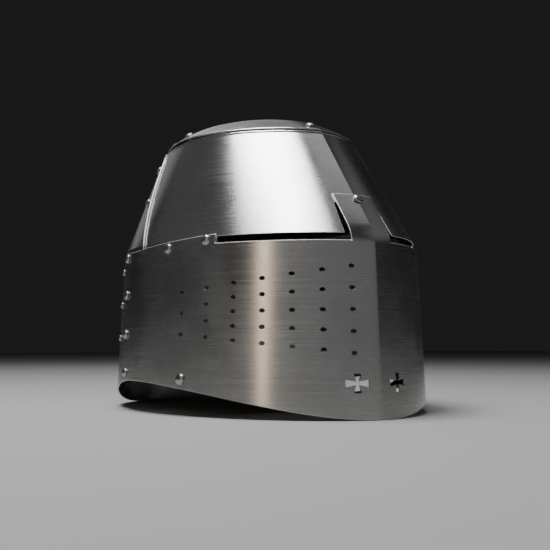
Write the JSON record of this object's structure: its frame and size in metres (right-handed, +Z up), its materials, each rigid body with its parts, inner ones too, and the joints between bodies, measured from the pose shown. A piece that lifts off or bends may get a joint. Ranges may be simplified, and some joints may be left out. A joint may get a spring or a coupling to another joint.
{
  "type": "great helm",
  "caption": "Great helm of lapped and riveted steel plates with two sight slits, breaths, crosses, a padded liner and a buckled chin strap.",
  "frame": {"origin": "middle of the helm's footprint, on the surface that it stands on", "axes": "-Y the way the wearer faces, +Z up, +X the wearer's left"},
  "size_m": [0.2824, 0.3666, 0.2816],
  "materials": {
    "steel": "brushed along the plates, softly polished",
    "rivet": "domed and polished heads",
    "leather": "oiled vegetable-tanned leather",
    "linen": "quilted undyed linen",
    "brass": "cast and lightly polished"
  },
  "bodies": {
    "shell": {"crown_plate": "steel", "brow_plate": "steel", "upper_back_plate": "steel", "face_plate": "steel", "lower_back_plate": "steel", "side_seam_rivet_1_right": "rivet", "side_seam_rivet_1_left": "rivet", "side_seam_rivet_2_right": "rivet", "side_seam_rivet_2_left": "rivet", "side_seam_rivet_3_right": "rivet", "side_seam_rivet_3_left": "rivet", "side_seam_rivet_4_right": "rivet", "side_seam_rivet_4_left": "rivet", "face_edge_rivet_front_right": "rivet", "face_edge_rivet_front_left": "rivet", "face_edge_rivet_rear_right": "rivet", "face_edge_rivet_rear_left": "rivet", "back_lap_rivet_1_right": "rivet", "back_lap_rivet_1_left": "rivet", "back_lap_rivet_2_right": "rivet", "back_lap_rivet_2_left": "rivet", "back_lap_rivet_3_right": "rivet", "back_lap_rivet_3_left": "rivet", "back_edge_rivet_outer_right": "rivet", "back_edge_rivet_outer_left": "rivet", "back_edge_rivet_inner_right": "rivet", "back_edge_rivet_inner_left": "rivet", "back_edge_rivet_middle": "rivet", "cone_seam_rivet_lower_right": "rivet", "cone_seam_rivet_lower_left": "rivet", "cone_seam_rivet_upper_right": "rivet", "cone_seam_rivet_upper_left": "rivet", "nasal_rivet": "rivet", "crown_rivet_front": "rivet", "crown_rivet_side_right": "rivet", "crown_rivet_side_left": "rivet", "crown_rivet_seam_right": "rivet", "crown_rivet_seam_left": "rivet", "crown_rivet_rear_right": "rivet", "crown_rivet_rear_left": "rivet", "crown_rivet_back": "rivet", "chin_strap_rivet_right": "rivet", "chin_strap_rivet_left": "rivet", "liner_band": "leather", "liner_pad_1": "linen", "liner_pad_2": "linen", "liner_pad_3": "linen", "liner_pad_4": "linen", "liner_pad_5": "linen", "liner_pad_6": "linen", "liner_lace": "leather"},
    "chin_strap": {"chin_strap_buckle_side": "leather", "chin_strap_tip_side": "leather", "strap_keeper": "leather"},
    "buckle_frame": {"buckle_frame": "brass"},
    "buckle_prong": {"buckle_prong": "brass"}
  },
  "joints": [
    {"name": "chin_strap_swing", "type": "hinge", "parent": "shell", "child": "chin_strap", "pos_m": [0, -0.06194, 0.03076], "axis": [1, 0, 0], "range_deg": [-20, 40]},
    {"name": "buckle_frame_hinge", "type": "hinge", "parent": "chin_strap", "child": "buckle_frame", "pos_m": [0.024, -0.06194, 0.01288], "axis": [0, 1, 0], "range_deg": [0, 60]},
    {"name": "buckle_prong_hinge", "type": "hinge", "parent": "buckle_frame", "child": "buckle_prong", "pos_m": [0.024, -0.06194, 0.01288], "axis": [0, 1, 0], "range_deg": [0, 70]}
  ]
}
